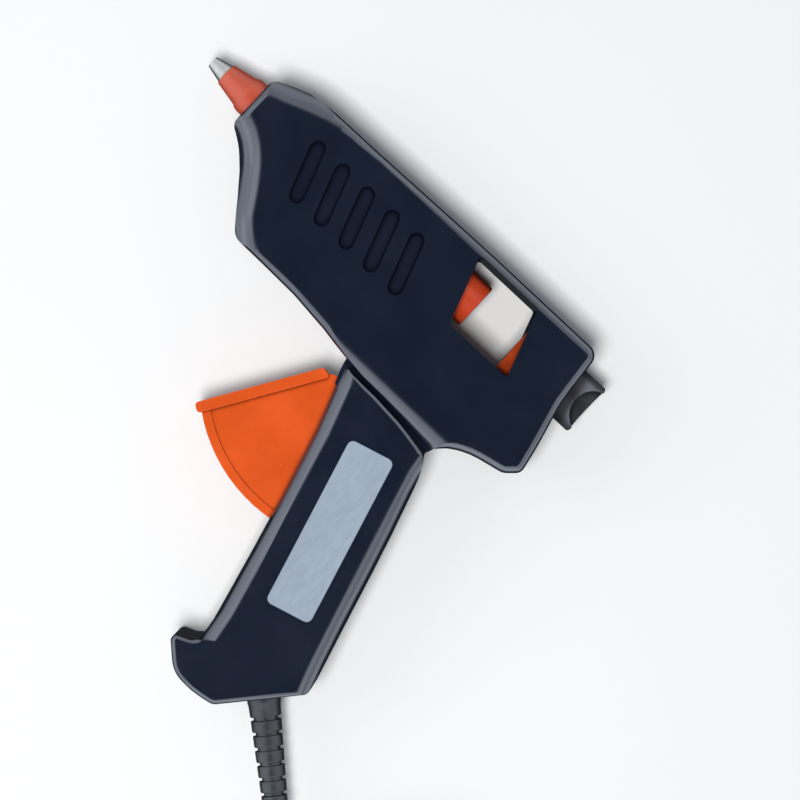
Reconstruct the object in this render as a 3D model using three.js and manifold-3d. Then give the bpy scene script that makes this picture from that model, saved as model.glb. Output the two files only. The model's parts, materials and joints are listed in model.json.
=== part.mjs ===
// A hot-melt glue gun with a mains cord, in millimetres.
//
// The gun lies on its right side: +Z is up, out of its left side. X runs from the nozzle
// to the rear, and Y runs from the handle's foot up to the top of the barrel. The gun is
// drawn with its feed axis (the line of the glue stick) at y = 0 and its parting plane at
// z = 0, and the whole is then set down with the origin under the middle of its box.
import * as THREE from "three";
import { mergeVertices } from "three/addons/utils/BufferGeometryUtils.js";
import Module from "manifold-3d";

const wasm = await Module();
wasm.setup();

// ------------------------------------------------------------------ driving dimensions
// Clearances
const seam = 0.3; // between the two housing halves, and between pieces that touch
const pinFit = 0.25; // round a pin in its bore, on the radius
const slideFit = 0.4; // beside a sliding or swinging piece

// Glue stick and feed
const stickBore = 11.9; // bore that the 11 mm sticks run through
const sleeveDiameter = 14.4; // silicone inlet sleeve
const sleeveEndX = 103.7; // its rear end, seen in the window
const carriageFrontX = 119.6; // carriage's front face with the trigger let go
const carriageLength = 14.6;
const carriageWidth = 18.6;
const carriageTopY = 10.7;
const carriageFootY = -16.6;
const legWidth = 5;
const legTopY = -10.4;
const drivePinY = -13.5; // cross pin that the trigger's fork drives
const drivePinDiameter = 3.8;

// Housing
const bodyThickness = 31; // across both halves
const wall = 2.4;
const noseX = 17.1; // flat front end of the housing
const topY = 13.6;
const rearTopX = 138.4;
const rearFootX = 145.4;
const rearFootY = -26.4;
const bellyFrontX = 39.4;
const bellyFrontY = -32.9;
const bellyRearY = -38; // barrel's lower edge over the handle
const barrelEdge = 2.3; // radius of the barrel's long edges
const noseEdge = 7.5; // radius of its edges towards the nozzle
const handleEdge = 5; // radius of the handle's long edges
const footEdge = 1.5; // radius round the handle's foot
const neckThickness = 26; // at the groove between barrel and handle
const handleFootY = -136;
const ribWidth = 1.6;
const bossRadius = 3.3;

// Window and vents
const windowTopY = 11.2;
const windowFootY = -9.3;
const windowFrontX = 94.6; // at its top corner
const windowLength = 22.4;
const windowLean = 6.8; // how far its lower edge is set back
const ventCount = 5;
const ventPitch = 9.6;
const ventFrontX = 40; // middle of the first vent's upper end
const ventTopY = 1.7;
const ventFootY = -12.1;
const ventLean = 4.7;
const ventWidth = 4.7;
const ventDepth = 1.2;
const ventSteps = 6; // facets round each end

// Nozzle and heater
const tipX = -0.7;
const tipDiameter = 3.6;
const orificeDiameter = 1.8;
const coverFrontX = 4.5;
const coverFrontDiameter = 7.1;
const coverBaseDiameter = 11.6;
const coverCollarX = 12.7;
const chamberDiameter = 16;
const chamberRearX = 57.5;
const spigotDiameter = 13.6;
const spigotLength = 9;
const heaterFrontX = 32.5;
const heaterFootY = -18;
const heaterWidth = 14;
const heaterSlotHeight = 5.8;
const heaterSlotWidth = 10;

// Rear inlet collar
const collarDiameter = 16.6;
const collarEndX = 147.6;
const collarFlangeX = 136.2;
const collarFlangeDiameter = 20;
const collarFlangeLength = 1.2;
const thumbNotchRadius = 7;
const thumbNotchX = 149.6;

// Trigger
const pivot = new THREE.Vector2(95, -38.1);
const pivotPinDiameter = 4;
const pivotPinLength = 20;
const triggerRadius = 47.5; // from the pivot to the trigger's lower rim
const triggerSwing = 28; // degrees
const triggerWidth = 15.8;
const triggerSideThickness = 1.9;
const triggerSideOuter = 7.1; // half the width over the side plates
const barOffset = 7.3; // from the pivot to the line of the finger bar's front
const barThickness = 3.2;
const barAngle = 31.8; // degrees from straight down, towards the nozzle
const rimThickness = 2.6;
const triggerRearAngle = 13; // degrees, how far the sides reach back into the handle
const hubRadius = 5.2;
const springWire = 1.1;
const springDiameter = 8.4; // at the middle of the wire
const springTurns = 4; // less the part turn between its two legs

// Cord, strain relief and plug
const cordDiameter = 5.4;
const exitPoint = new THREE.Vector2(135.2, -124.2); // on the handle's slanted rear foot
const exitAngle = -40.9; // degrees from +X
const bootLength = 38;
const bootDiameter = 9.6;
const bootEndDiameter = 6.9;
const cordInside = 20; // from the housing's surface to the jacket's inner end
const clampDistance = 11; // from the housing's surface back to the clamp
const clampSpread = 14; // between its two screws
const coilDiameter = 62; // at the middle of the turns
const coilTurnsWide = 4;
const coilLayers = 2;
const coilLift = 1.3; // over the table, for the tie that passes under it
const leadIn = 46; // from the boot's end to the coil
const tieThickness = 0.8;
const tieWidth = 4;
const plugLength = 34;
const plugThickness = 13.2;
const plugWidth = 26;
const pinSpacing = 18.6;
const plugPinDiameter = 4;
const plugPinLength = 19;

// Screws
const screwHeadDiameter = 5.6;
const screwHeadHeight = 2.2;
const screwDiameter = 2.9;
const screwLength = 16;
const screwSinkZ = -8; // floor of the counterbores

// Rating label, left blank
const labelWidth = 14.2;
const labelLength = 52.2;
const labelThickness = 0.25;
const labelGap = 0.05;
const labelCentre = new THREE.Vector2(116.84, -75.7);
const labelLean = 15.3; // degrees from the Y axis

// ------------------------------------------------------------------ helpers
const radians = (degrees) => (degrees * Math.PI) / 180;
const half = bodyThickness / 2;
const far = 400;
const fine = 9; // degrees per step round the housing's corners

// A closed three.js geometry as a solid for joining and cutting.
function solid(geometry) {
  const bare = geometry.index ? geometry.toNonIndexed() : geometry.clone();
  for (const name of Object.keys(bare.attributes)) {
    if (name !== "position") bare.deleteAttribute(name);
  }
  const merged = mergeVertices(bare, 1e-4);
  const position = merged.attributes.position.array;
  const faces = [];
  let volume = 0;
  for (let i = 0; i < merged.index.count; i += 3) {
    const face = [0, 1, 2].map((k) => merged.index.array[i + k]);
    if (new Set(face).size < 3) continue;
    const [a, b, c] = face.map((v) => new THREE.Vector3().fromArray(position, 3 * v));
    volume += a.dot(b.cross(c));
    faces.push(face);
  }
  if (volume < 0) faces.forEach((face) => face.reverse());
  const triVerts = new Uint32Array(faces.flat());
  const mesh = new wasm.Mesh({ numProp: 3, vertProperties: position, triVerts });
  return new wasm.Manifold(mesh);
}

const join = (...solids) => solids.reduce((all, next) => all.add(next));
const cut = (base, ...tools) => tools.reduce((left, tool) => left.subtract(tool), base);
const common = (...solids) => solids.reduce((all, next) => all.intersect(next));

// The solid's faces as a flat-shaded geometry.
function geometryOf(body) {
  const { vertProperties, triVerts } = body.getMesh();
  const indexed = new THREE.BufferGeometry();
  indexed.setAttribute("position", new THREE.BufferAttribute(vertProperties.slice(), 3));
  indexed.setIndex(new THREE.BufferAttribute(triVerts.slice(), 1));
  const flat = indexed.toNonIndexed();
  flat.computeVertexNormals();
  return flat;
}

// A polygon with its corners rounded. A corner is [x, y] for as smooth as its edges
// allow, or [x, y, radius].
function rounded(corners, degreesPerStep = 17) {
  const points = [];
  corners.forEach(([x, y, radius = Infinity], i) => {
    const before = corners[(i + corners.length - 1) % corners.length];
    const after = corners[(i + 1) % corners.length];
    const at = new THREE.Vector2(x, y);
    const back = new THREE.Vector2(before[0] - x, before[1] - y);
    const on = new THREE.Vector2(after[0] - x, after[1] - y);
    const reach = 0.44 * Math.min(back.length(), on.length());
    back.normalize();
    on.normalize();
    const turn = Math.PI - Math.acos(THREE.MathUtils.clamp(back.dot(on), -1, 1));
    if (turn < radians(1) || radius === 0) {
      points.push(at);
      return;
    }
    const trim = Math.min(reach, radius * Math.tan(turn / 2));
    const r = trim / Math.tan(turn / 2);
    const inward = back.clone().add(on).normalize();
    const centre = at.clone().addScaledVector(inward, r / Math.cos(turn / 2));
    const start = at.clone().addScaledVector(back, trim).sub(centre);
    const side = Math.sign(back.cross(on)) || 1;
    const steps = Math.max(1, Math.round(turn / radians(degreesPerStep)));
    for (let k = 0; k <= steps; k++) {
      const spin = (-side * turn * k) / steps;
      points.push(start.clone().rotateAround(new THREE.Vector2(), spin).add(centre));
    }
  });
  return points;
}

// The polygon moved inwards by a distance, with edges that vanish left out.
function inset(points, distance) {
  const turn = THREE.ShapeUtils.area(points) > 0 ? 1 : -1;
  let edges = points.map((a, i) => {
    const b = points[(i + 1) % points.length];
    const along = b.clone().sub(a).normalize();
    const inward = new THREE.Vector2(-along.y, along.x).multiplyScalar(turn * distance);
    return { start: a.clone().add(inward), along };
  });
  const meet = (p, q) => {
    const cross = p.along.cross(q.along);
    if (Math.abs(cross) < 1e-6) return q.start.clone();
    const t = q.start.clone().sub(p.start).cross(q.along) / cross;
    return p.start.clone().addScaledVector(p.along, t);
  };
  for (;;) {
    const n = edges.length;
    const corners = edges.map((edge, i) => meet(edges[(i + n - 1) % n], edge));
    const kept = edges.filter(
      (edge, i) => corners[(i + 1) % n].clone().sub(corners[i]).dot(edge.along) > 1e-4,
    );
    if (kept.length === n) return corners;
    edges = kept;
  }
}

// A flat plate of the outline between two heights.
function plate(points, low, high) {
  const shape = new THREE.Shape(points);
  const body = new THREE.ExtrudeGeometry(shape, { depth: high - low, bevelEnabled: false });
  return solid(body.translate(0, 0, low));
}

// The outline extruded to a thickness about z = 0, with its edges rounded.
function pillow(points, thickness, edge, steps) {
  const body = new THREE.ExtrudeGeometry(new THREE.Shape(points), {
    depth: thickness - 2 * edge,
    bevelThickness: edge,
    bevelSize: edge,
    bevelOffset: -edge,
    bevelSegments: steps,
  });
  return solid(body.translate(0, 0, edge - thickness / 2));
}

function block(x0, x1, y0, y1, z0, z1) {
  const body = new THREE.BoxGeometry(x1 - x0, y1 - y0, z1 - z0);
  return solid(body.translate((x0 + x1) / 2, (y0 + y1) / 2, (z0 + z1) / 2));
}

// A round bar along Z.
function post(x, y, radius, low, high, sides = 20) {
  const body = new THREE.CylinderGeometry(radius, radius, high - low, sides);
  return solid(body.rotateX(Math.PI / 2).translate(x, y, (low + high) / 2));
}

// A solid of revolution about the X axis from [x, radius] points.
function turned(profile, sides = 26) {
  const points = profile.map(([x, radius]) => new THREE.Vector2(radius, x));
  return solid(new THREE.LatheGeometry(points, sides).rotateZ(-Math.PI / 2));
}

// A ring section [x0, x1] by [r0, r1], closed on itself.
const tubeProfile = (x0, x1, r0, r1) => [[x0, r0], [x0, r1], [x1, r1], [x1, r0], [x0, r0]];

// A round wire along a curve.
function wire(curve, radius, sides, steps) {
  const section = new THREE.Shape();
  for (let i = 0; i < sides; i++) {
    const angle = (2 * Math.PI * i) / sides;
    const [x, y] = [radius * Math.cos(angle), radius * Math.sin(angle)];
    if (i) section.lineTo(x, y);
    else section.moveTo(x, y);
  }
  section.closePath();
  const path = { steps, bevelEnabled: false, extrudePath: curve };
  return solid(new THREE.ExtrudeGeometry(section, path));
}

const smoothCurve = (points) =>
  new THREE.CatmullRomCurve3(points.map((p) => new THREE.Vector3(...p)), false, "centripetal");

const placed = (body, matrix) => body.transform(matrix.elements);

const gun = new THREE.Group();
const finishes = {
  shell: { color: 0x2a313d, roughness: 0.38, metalness: 0 },
  blackPlastic: { color: 0x202329, roughness: 0.45, metalness: 0 },
  orangePlastic: { color: 0xdb541d, roughness: 0.4, metalness: 0 },
  redSilicone: { color: 0xc2472a, roughness: 0.5, metalness: 0 },
  nozzleSilicone: { color: 0xd0502c, roughness: 0.45, metalness: 0 },
  aluminium: { color: 0xa9abb0, roughness: 0.5, metalness: 0.9 },
  brightMetal: { color: 0xb8b9bd, roughness: 0.3, metalness: 1 },
  steel: { color: 0x9a9ca0, roughness: 0.35, metalness: 1 },
  ceramic: { color: 0xd9d2c2, roughness: 0.8, metalness: 0 },
  film: { color: 0xb5762a, roughness: 0.4, metalness: 0 },
  rubber: { color: 0x24272b, roughness: 0.7, metalness: 0 },
  cord: { color: 0x1b1c1f, roughness: 0.6, metalness: 0 },
  lead: { color: 0xe8e4da, roughness: 0.6, metalness: 0 },
  label: { color: 0xa3b1c0, roughness: 0.35, metalness: 0 },
};

function add(name, body, finish, parent = gun) {
  const material = new THREE.MeshStandardMaterial(finishes[finish]);
  const mesh = new THREE.Mesh(geometryOf(body), material);
  mesh.name = name;
  parent.add(mesh);
}

// ------------------------------------------------------------------ outlines
const barrelOutline = rounded([
  [noseX, 7.4, barrelEdge + 0.7],
  [noseX + 3.8, topY - 4.4],
  [noseX + 7.9, topY - 2.5],
  [noseX + 13.4, topY - 1.2],
  [noseX + 19.4, topY - 0.85],
  [noseX + 34.4, topY - 0.75],
  [noseX + 63.4, topY - 0.25],
  [noseX + 75.4, topY],
  [rearTopX, topY, barrelEdge + 1.2],
  [rearTopX + 1.05, 3.8],
  [rearTopX + 1.4, -1.6],
  [rearTopX + 2.7, -8],
  [rearTopX + 4.3, -13.6],
  [rearFootX - 0.9, rearFootY + 5],
  [rearFootX, rearFootY, barrelEdge + 0.4],
  [rearFootX - 3.8, rearFootY - 3.6, barrelEdge + 2],
  [rearFootX - 14.3, rearFootY - 5.9],
  [rearFootX - 20.3, rearFootY - 9],
  [rearFootX - 24.2, bellyRearY - 1.9, barrelEdge + 1.5],
  [rearFootX - 30.3, bellyRearY - 0.6],
  [pivot.x + 5, bellyRearY],
  [pivot.x - 8, bellyRearY + 1.3],
  [pivot.x - 25, bellyRearY + 4.3],
  [bellyFrontX + 15.6, bellyFrontY - 0.2],
  [bellyFrontX, bellyFrontY, 5],
  [bellyFrontX - 4.1, bellyFrontY + 5.2],
  [bellyFrontX - 9, bellyFrontY + 11.5],
  [noseX + 8.3, -15.6],
  [noseX + 3.4, -11.5],
  [noseX, -9.6, barrelEdge + 0.7],
], fine);

// The barrel's sides narrow to the nozzle inside this line, which is carried past its
// front end and its rear.
const noseOutline = rounded([
  [noseX - 14, 9.3, 0],
  [noseX - 1.5, 9.3],
  [noseX + 2.8, 10.5],
  [noseX + 9.1, 13],
  [noseX + 14.7, 15.1],
  [noseX + 20.3, 16.5],
  [noseX + 32.9, 18],
  [far, 20.6, 0],
  [far, -44, 0],
  [noseX + 34.9, -40.2],
  [noseX + 24.8, -36.4],
  [noseX + 17.5, -29.8],
  [noseX + 14.8, -25.4],
  [noseX + 11.6, -20.3],
  [noseX + 7.4, -15],
  [noseX + 2.9, -11.5],
  [noseX - 1.5, -10],
  [noseX - 14, -10, 0],
], fine);

const hookCorner = new THREE.Vector2(pivot.x + 7.9, -127.7); // before its rounding
const handleOutline = rounded([
  [pivot.x - 8, bellyRearY - 0.3, footEdge + 0.3],
  [pivot.x - 2.8, -51.1],
  [pivot.x + 3, -71.1],
  [pivot.x + 7.3, -87],
  [pivot.x + 12, -106.1],
  [pivot.x + 15.2, -119.2],
  [pivot.x + 15.4, -124.5],
  [hookCorner.x, hookCorner.y, footEdge + 0.3],
  [pivot.x + 16.3, handleFootY + 0.5],
  [pivot.x + 23.6, handleFootY - 0.1],
  [exitPoint.x - 9.2, exitPoint.y - 10.6, footEdge + 2],
  [exitPoint.x + 8.6, exitPoint.y + 9.9, footEdge + 0.4],
  [exitPoint.x + 8.2, -110.6],
  [exitPoint.x + 3, -92],
  [exitPoint.x - 1.4, -76],
  [exitPoint.x - 6.3, -59],
  [exitPoint.x - 10.4, -46.5],
  [exitPoint.x - 13.6, -41.4, footEdge + 0.3],
  [exitPoint.x - 19, bellyRearY - 2.2],
  [pivot.x + 10, bellyRearY - 0.5],
], fine);

// The handle's two long sides, carried past both of its ends.
const gripOutline = rounded([
  [pivot.x - 8.1, bellyRearY + 15, 0],
  [pivot.x - 8.1, bellyRearY],
  [pivot.x - 2.85, -51.1],
  [pivot.x + 2.95, -71.1],
  [pivot.x + 7.25, -87],
  [pivot.x + 11.95, -106.1],
  [pivot.x + 15.2, -119],
  [pivot.x + 17, handleFootY - 20, 0],
  [exitPoint.x + 22, handleFootY - 10, 0],
  [exitPoint.x + 9.8, -115],
  [exitPoint.x + 3.05, -92],
  [exitPoint.x - 1.35, -76],
  [exitPoint.x - 6.25, -59],
  [exitPoint.x - 10.3, -46.5],
  [exitPoint.x - 12, bellyRearY + 15, 0],
], fine);

// The foot and its hook, under a line that climbs from the hook across the handle's side.
const footOutline = [
  [pivot.x - 20, -119],
  [pivot.x + 15, -124.2],
  [pivot.x + 20.6, -119.8],
  [exitPoint.x + 20, -119.8],
  [exitPoint.x + 20, handleFootY - 20],
  [pivot.x - 20, handleFootY - 20],
].map(([x, y]) => new THREE.Vector2(x, y));

const neckOutline = [
  [pivot.x - 8.6, bellyRearY + 4],
  [pivot.x - 8.2, bellyRearY + 0.5],
  [pivot.x - 7.4, bellyRearY - 2.2],
  [pivot.x - 5.9, bellyRearY - 6],
  [exitPoint.x - 12.4, bellyRearY - 6],
  [exitPoint.x - 13.7, bellyRearY - 3],
  [exitPoint.x - 12.8, bellyRearY - 0.6],
  [exitPoint.x - 13.5, bellyRearY + 4],
].map(([x, y]) => new THREE.Vector2(x, y));

const windowOutline = rounded([
  [windowFrontX, windowTopY, 0.8],
  [windowFrontX + windowLength, windowTopY, 0.8],
  [windowFrontX + windowLength + windowLean, windowFootY, 0.8],
  [windowFrontX + windowLean, windowFootY, 0.8],
], 45);

// ------------------------------------------------------------------ places
const swing = radians(triggerSwing);
const driveArm = drivePinY - pivot.y; // height of the drive pin over the pivot
const drivePinX = pivot.x + driveArm * Math.tan(swing / 2);
const feedTravel = 2 * driveArm * Math.tan(swing / 2);
const triggerSlot = triggerWidth / 2 + slideFit;
const exitDirection = new THREE.Vector2(1, 0).rotateAround(new THREE.Vector2(), radians(exitAngle));
const onExit = (distance) => exitPoint.clone().addScaledVector(exitDirection, distance);
// Turns a piece made along +X onto the cord's line, with x = 0 at the housing's surface.
const exitMatrix = new THREE.Matrix4()
  .makeRotationZ(radians(exitAngle))
  .setPosition(exitPoint.x, exitPoint.y, 0);
const clampCentre = onExit(-clampDistance);
const clampMatrix = exitMatrix.clone().setPosition(clampCentre.x, clampCentre.y, 0);
const clampPosts = [-1, 1].map((side) =>
  new THREE.Vector2(0, (side * clampSpread) / 2)
    .rotateAround(new THREE.Vector2(), radians(exitAngle))
    .add(clampCentre),
);
const springPostRadius = 1.4;
const springPost = new THREE.Vector2(pivot.x - 12.7, pivot.y + 7);
const screwPlaces = [
  [44, -25.4],
  [70, -29.6],
  [130.5, -24],
  [118.3, -48.7],
  [110.8, -96.5],
  [117, -128.6],
];

// A sector about the pivot, from an angle ahead of straight down to one behind it.
function sectorPoints(radius, ahead, behind, steps) {
  const points = [pivot.clone()];
  for (let k = 0; k <= steps; k++) {
    const angle = radians(-90 - ahead + ((ahead + behind) * k) / steps);
    points.push(new THREE.Vector2(Math.cos(angle), Math.sin(angle)).multiplyScalar(radius).add(pivot));
  }
  return points;
}

// ------------------------------------------------------------------ housing
const chamberClear = chamberDiameter / 2 + seam;
const sleeveClear = sleeveDiameter / 2 + seam;
const ledgeTopY = carriageFootY - slideFit;
const collarSeatX = collarFlangeX - 1.2;

function housingBody() {
  const barrel = common(
    pillow(barrelOutline, bodyThickness, barrelEdge, 5),
    pillow(noseOutline, bodyThickness, noseEdge, 6),
  );
  const handle = pillow(handleOutline, bodyThickness, footEdge, 3);
  const grip = common(
    handle,
    join(pillow(gripOutline, bodyThickness, handleEdge, 6), plate(footOutline, -half, half)),
  );
  const neck = plate(neckOutline, -neckThickness / 2, neckThickness / 2);
  return join(barrel, grip, neck);
}

function housingHollow() {
  const depth = half - wall;
  const barrel = common(
    plate(inset(barrelOutline, wall), -depth, depth),
    pillow(inset(noseOutline, wall), 2 * depth, noseEdge - wall, 3),
  );
  const grip = plate(inset(handleOutline, wall), -depth, depth);
  const neckDepth = neckThickness / 2 - 1.9;
  const neck = plate(
    [
      [pivot.x - 6, bellyRearY + 5],
      [pivot.x - 2.6, bellyRearY - 7],
      [exitPoint.x - 15.4, bellyRearY - 7],
      [exitPoint.x - 16.4, bellyRearY + 5],
    ].map(([x, y]) => new THREE.Vector2(x, y)),
    -neckDepth,
    neckDepth,
  );
  return join(barrel, grip, neck);
}

// Ribs, rails and bosses that stand in the hollow.
function housingFrames() {
  const rib = (x, y0, y1) => block(x, x + ribWidth, y0, y1, -half, half);
  const frames = [
    rib(noseX + 7, -far, far),
    rib(chamberRearX - 10, heaterFootY - 2.4, far),
    rib(sleeveEndX - 32, -12, far),
    rib(sleeveEndX - 15, -12, far),
    block(windowFrontX - 2, far, windowTopY, far, -half, half),
    block(collarSeatX, far, -collarFlangeDiameter / 2 - 1.4, far, -half, half),
    block(pivot.x - 12, far, ledgeTopY - ribWidth, ledgeTopY, -half, half),
    post(pivot.x, pivot.y, pivotPinDiameter / 2 + 2.2, -half, half),
  ];
  screwPlaces.forEach(([x, y]) => frames.push(post(x, y, bossRadius, -half, half, 16)));
  return join(...frames);
}

// Room for what the housing holds, the same in both halves.
function housingRoom() {
  const depth = half - wall;
  const channel = legWidth / 2 + triggerSideThickness + 4;
  const heaterRoom = heaterWidth / 2 + seam;
  const trigger = triggerSideOuter + slideFit + 0.8;
  const vents = [];
  for (let k = 0; k < ventCount; k++) {
    const top = new THREE.Vector2(ventFrontX + k * ventPitch, ventTopY);
    const foot = new THREE.Vector2(top.x + ventLean, ventFootY);
    const lean = foot.clone().sub(top).angle();
    const outline = [];
    for (let i = 0; i < 2 * (ventSteps + 1); i++) {
      const end = i <= ventSteps ? foot : top;
      const angle = lean - Math.PI / 2 + (Math.PI * (i <= ventSteps ? i : i - 1)) / ventSteps;
      const round = new THREE.Vector2(Math.cos(angle), Math.sin(angle)).multiplyScalar(ventWidth / 2);
      outline.push(round.add(end));
    }
    vents.push(plate(outline, half - ventDepth, half + 1), plate(outline, -half - 1, ventDepth - half));
  }
  return [
    plate(windowOutline, -far, far),
    turned([[-far, 0], [-far, 4.7], [noseX + 2, 4.7], [noseX + 2, 6.2], [noseX + 12, chamberClear],
      [chamberRearX + 1, chamberClear], [chamberRearX + 1, 9.6], [chamberRearX + 12, 9.6],
      [chamberRearX + 12, sleeveClear], [sleeveEndX + 1, sleeveClear], [sleeveEndX + 1, 0]]),
    block(heaterFrontX - 1, chamberRearX + 12, heaterFootY - seam, 0, -heaterRoom, heaterRoom),
    block(pivot.x - 12.5, collarSeatX, carriageFootY - slideFit, windowTopY, -depth, depth),
    block(pivot.x - 12.5, collarSeatX - 14, ledgeTopY - 3, 0, -channel, channel),
    turned(tubeProfile(collarFlangeX - seam, collarFlangeX + collarFlangeLength + seam, 1,
      collarFlangeDiameter / 2 + seam)),
    turned([[collarSeatX - 3, 0], [collarSeatX - 3, collarDiameter / 2 + seam],
      [far, collarDiameter / 2 + seam], [far, 0]]),
    plate(sectorPoints(triggerRadius + 0.7, 64, triggerRearAngle + triggerSwing + 2, 14),
      -triggerSlot, triggerSlot),
    post(pivot.x, pivot.y, hubRadius + 2.8, -triggerSlot, triggerSlot, 28),
    block(pivot.x - 12, pivot.x + 12, pivot.y, ledgeTopY, -trigger, trigger),
    post(pivot.x, pivot.y, pivotPinDiameter / 2 + pinFit, -pivotPinLength / 2 - seam,
      pivotPinLength / 2 + seam),
    placed(turned([[-wall - 3.4, 0], [-wall - 3.4, bootDiameter / 2 + 2], [-wall, bootDiameter / 2 + 2],
      [-wall, bootDiameter / 2 + 0.2], [8, bootDiameter / 2 + 0.2], [8, 0]]), exitMatrix),
    placed(turned([[-cordInside - 2, 0], [-cordInside - 2, cordDiameter / 2 + 0.5],
      [8, cordDiameter / 2 + 0.5], [8, 0]]), exitMatrix),
    ...vents,
  ];
}

const shell = cut(cut(housingBody(), cut(housingHollow(), housingFrames())), ...housingRoom());
let leftHalf = common(shell, block(-far, far, -far, far, seam / 2, far));
let rightHalf = common(shell, block(-far, far, -far, far, -far, -seam / 2));
screwPlaces.forEach(([x, y]) => {
  const bore = screwDiameter / 2 + seam;
  leftHalf = cut(leftHalf, post(x, y, bore, -1, screwSinkZ + screwLength + 1, 12));
  rightHalf = cut(
    rightHalf,
    post(x, y, bore, -half, 1, 12),
    post(x, y, screwHeadDiameter / 2 + seam, -half - 1, screwSinkZ, 16),
  );
});
rightHalf = join(rightHalf, post(springPost.x, springPost.y, springPostRadius, wall / 2 - half, -1.5, 14));
clampPosts.forEach(({ x, y }) => {
  const top = -cordDiameter / 2 - 0.5;
  rightHalf = cut(
    join(rightHalf, post(x, y, 2.5, wall / 2 - half, top, 12)),
    post(x, y, 1.1 + seam, top - 6.5, 1, 10),
  );
});
add("housing_left", leftHalf, "shell");
add("housing_right", rightHalf, "shell");

screwPlaces.forEach(([x, y], i) => {
  const slotZ = screwSinkZ - seam - screwHeadHeight;
  const head = post(x, y, screwHeadDiameter / 2, slotZ, screwSinkZ - seam, 16);
  const shank = post(x, y, screwDiameter / 2, screwSinkZ - seam - 0.5, screwSinkZ + screwLength, 12);
  const drive = (w, l) => block(x - w / 2, x + w / 2, y - l / 2, y + l / 2, slotZ - 1, slotZ + 1.2);
  add("housing_screw_" + (i + 1), cut(join(head, shank), drive(0.9, 3.4), drive(3.4, 0.9)), "steel");
});

// ------------------------------------------------------------------ nozzle and heater
const coverRearX = noseX - 0.4;
const shankRadius = 4.2;
const chamberFrontX = noseX + 3;

add("nozzle", turned([
  [tipX, orificeDiameter / 2],
  [tipX, tipDiameter / 2],
  [coverFrontX, coverFrontDiameter / 2 - 0.45],
  [coverCollarX, 4.1],
  [noseX + 0.6, 4.1],
  [noseX + 0.6, shankRadius],
  [chamberFrontX - seam, shankRadius],
  [chamberFrontX - seam, 3.4],
  [chamberFrontX + 6, 3.4],
  [chamberFrontX + 6, 2],
  [tipX + 9, 2],
  [tipX + 5, orificeDiameter / 2],
  [tipX, orificeDiameter / 2],
]), "brightMetal");

add("nozzle_cover", turned([
  [coverFrontX, coverFrontDiameter / 2 - 0.15],
  [coverFrontX + 0.3, coverFrontDiameter / 2],
  [coverCollarX - 0.6, 5.05],
  [coverCollarX, 5.5],
  [coverCollarX + 1.2, coverBaseDiameter / 2],
  [coverRearX, coverBaseDiameter / 2],
  [coverRearX, 4.4],
  [coverCollarX, 4.4],
  [coverFrontX, coverFrontDiameter / 2 - 0.15],
]), "nozzleSilicone");

const heaterTopY = heaterFootY + 2.2 + heaterSlotHeight;
add("melt_chamber", cut(
  join(
    turned([[chamberFrontX, 0], [chamberFrontX, 5.8], [chamberFrontX + 9, chamberDiameter / 2],
      [chamberRearX, chamberDiameter / 2], [chamberRearX, spigotDiameter / 2],
      [chamberRearX + spigotLength, spigotDiameter / 2], [chamberRearX + spigotLength, 0]]),
    block(heaterFrontX, chamberRearX - 1, heaterFootY, -4, -heaterWidth / 2, heaterWidth / 2),
  ),
  turned([[chamberFrontX - 1, 0], [chamberFrontX - 1, 3.7], [chamberFrontX + 6.3, 3.7],
    [chamberFrontX + 6.3, 2.2], [chamberFrontX + 9, 2.2], [chamberFrontX + 16, stickBore / 2],
    [far, stickBore / 2], [far, 0]]),
  block(0, far, heaterFootY + 2.2, heaterTopY, -heaterSlotWidth / 2, heaterSlotWidth / 2),
), "aluminium");

// The heater pack fills the slot under the chamber: film, plate, ceramic, plate.
const packX0 = heaterFrontX + 2;
const packX1 = chamberRearX - 3;
const filmThickness = 0.4;
const packY = (heaterFootY + 2.2 + heaterTopY) / 2;
const filmHalfY = heaterSlotHeight / 2 - seam;
const filmHalfZ = heaterSlotWidth / 2 - seam;
add("heater_insulation", cut(
  block(packX0 - 2, packX1 + 2, packY - filmHalfY, packY + filmHalfY, -filmHalfZ, filmHalfZ),
  block(0, far, packY - filmHalfY + filmThickness, packY + filmHalfY - filmThickness,
    -filmHalfZ + filmThickness, filmHalfZ - filmThickness),
), "film");
const ceramicHalfY = 0.9;
add("heater_ceramic", block(packX0 + 3, packX1 - 5, packY - ceramicHalfY, packY + ceramicHalfY, -3.2, 3.2),
  "ceramic");
[1, -1].forEach((side) => {
  const inner = ceramicHalfY + 0.15;
  const outer = inner + 0.5;
  const [y0, y1] = side > 0 ? [packY + inner, packY + outer] : [packY - outer, packY - inner];
  const strip = block(packX0, packX1, y0, y1, -3.6, 3.6);
  const tag = block(packX1 - 1, packX1 + 6, y0, y1, side > 0 ? 0.6 : -3, side > 0 ? 3 : -0.6);
  add(side > 0 ? "heater_contact_upper" : "heater_contact_lower", join(strip, tag), "brightMetal");
});

// ------------------------------------------------------------------ inlet sleeve, clip and collar
const bellRadius = spigotDiameter / 2 + seam;
const bellX1 = chamberRearX + spigotLength + seam;
add("inlet_sleeve", turned([
  [chamberRearX + seam, bellRadius],
  [chamberRearX + seam, bellRadius + 1.3],
  [bellX1, bellRadius + 1.3],
  [bellX1 + 3, sleeveDiameter / 2],
  [sleeveEndX - 0.3, sleeveDiameter / 2],
  [sleeveEndX, sleeveDiameter / 2 - 0.3],
  [sleeveEndX, stickBore / 2],
  [bellX1, stickBore / 2],
  [bellX1, bellRadius],
  [chamberRearX + seam, bellRadius],
], 30), "redSilicone");

const clipX = chamberRearX + 4.5;
const clipRadius = bellRadius + 1.3 + 0.25;
add("sleeve_clip", turned(tubeProfile(clipX - 0.8, clipX + 0.8, clipRadius, clipRadius + 0.9)), "steel");

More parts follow.
